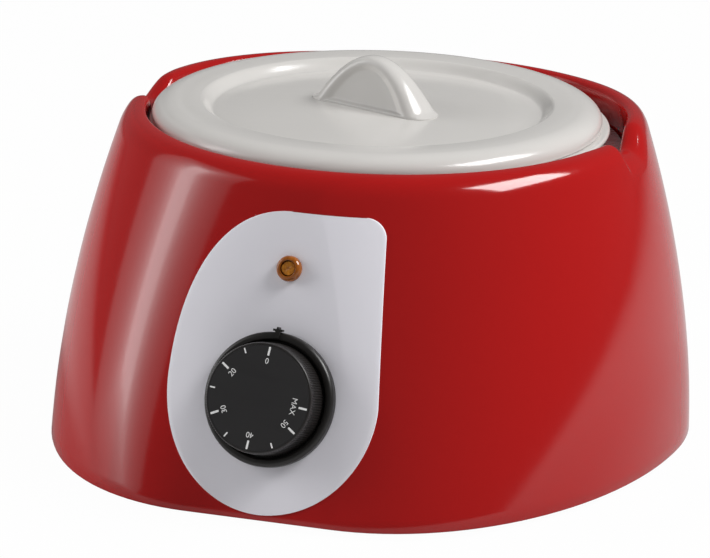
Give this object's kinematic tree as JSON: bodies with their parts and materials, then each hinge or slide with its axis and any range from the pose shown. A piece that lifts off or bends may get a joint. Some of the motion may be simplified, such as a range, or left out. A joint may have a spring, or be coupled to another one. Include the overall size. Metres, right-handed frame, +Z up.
{
  "type": "chocolate melting tank",
  "caption": "Table-top dry melting tank: red rounded housing, leaning control panel with lamp and dial thermostat, loose pale bowl and lid with a half-moon grip.",
  "frame": {"origin": "on the table, under the middle of the object's box, which is also the middle of the housing's foot", "axes": "+Z up out of the bowl, -Y out of the control panel, +X to the right as seen from the front"},
  "size_m": [0.29, 0.318, 0.1731],
  "materials": {
    "red_housing": "high gloss moulded red",
    "grey_plate": "satin silver-grey film",
    "well_metal": "spun, satin",
    "silicone": "matte",
    "zinc_steel": "bright zinc",
    "heater_silicone": "matte",
    "insulation": "fibrous",
    "sheet_steel": "galvanised",
    "pale_phenolic": "moulded",
    "black_plastic": "fine satin",
    "copper": "drawn copper",
    "amber_lens": "clear amber, faceted",
    "wire_silicone": "matte",
    "base_paint": "matt grey paint",
    "foot_rubber": "matte",
    "black_knob": "satin, knurled",
    "dial_print": "satin with white print",
    "pale_bowl": "satin gloss warm pale grey"
  },
  "bodies": {
    "housing": {"body_shell": "red_housing", "control_overlay": "grey_plate", "heating_well": "well_metal", "well_seal": "silicone", "well_screws": "zinc_steel", "heater_mat": "heater_silicone", "insulation_pad": "insulation", "heat_shield": "sheet_steel", "shield_nuts": "zinc_steel", "thermal_cutout": "pale_phenolic", "cutout_screws": "zinc_steel", "thermostat_body": "pale_phenolic", "thermostat_screws": "zinc_steel", "thermostat_bezel": "black_plastic", "capillary": "copper", "sensor_bulb": "copper", "bulb_clips": "sheet_steel", "lamp_lens": "amber_lens", "lamp_body": "black_plastic", "lamp_nut": "black_plastic", "terminal_block": "pale_phenolic", "terminal_screws": "zinc_steel", "block_screws": "zinc_steel", "wiring": "wire_silicone", "cable_gland": "black_plastic", "gland_nut": "black_plastic", "base_plate": "base_paint", "base_screws": "zinc_steel", "rubber_feet": "foot_rubber", "foot_screws": "zinc_steel"},
    "knob": {"thermostat_shaft": "zinc_steel", "knob": "black_knob", "dial_disc": "dial_print", "knob_spring": "sheet_steel"},
    "bowl": {"bowl": "pale_bowl"},
    "lid": {"lid": "pale_bowl"}
  },
  "joints": [
    {"name": "knob_turn", "type": "hinge", "parent": "housing", "child": "knob", "pos_m": [0, -0.13359, 0.0535], "axis": [0, 0.9454, -0.326], "range_deg": [0, 270]},
    {"name": "bowl_lift", "type": "slide", "parent": "housing", "child": "bowl", "axis": [0, 0, 1], "range_m": [0, 0.11]},
    {"name": "lid_lift", "type": "slide", "parent": "bowl", "child": "lid", "axis": [0, 0, 1], "range_m": [0, 0.06]}
  ]
}
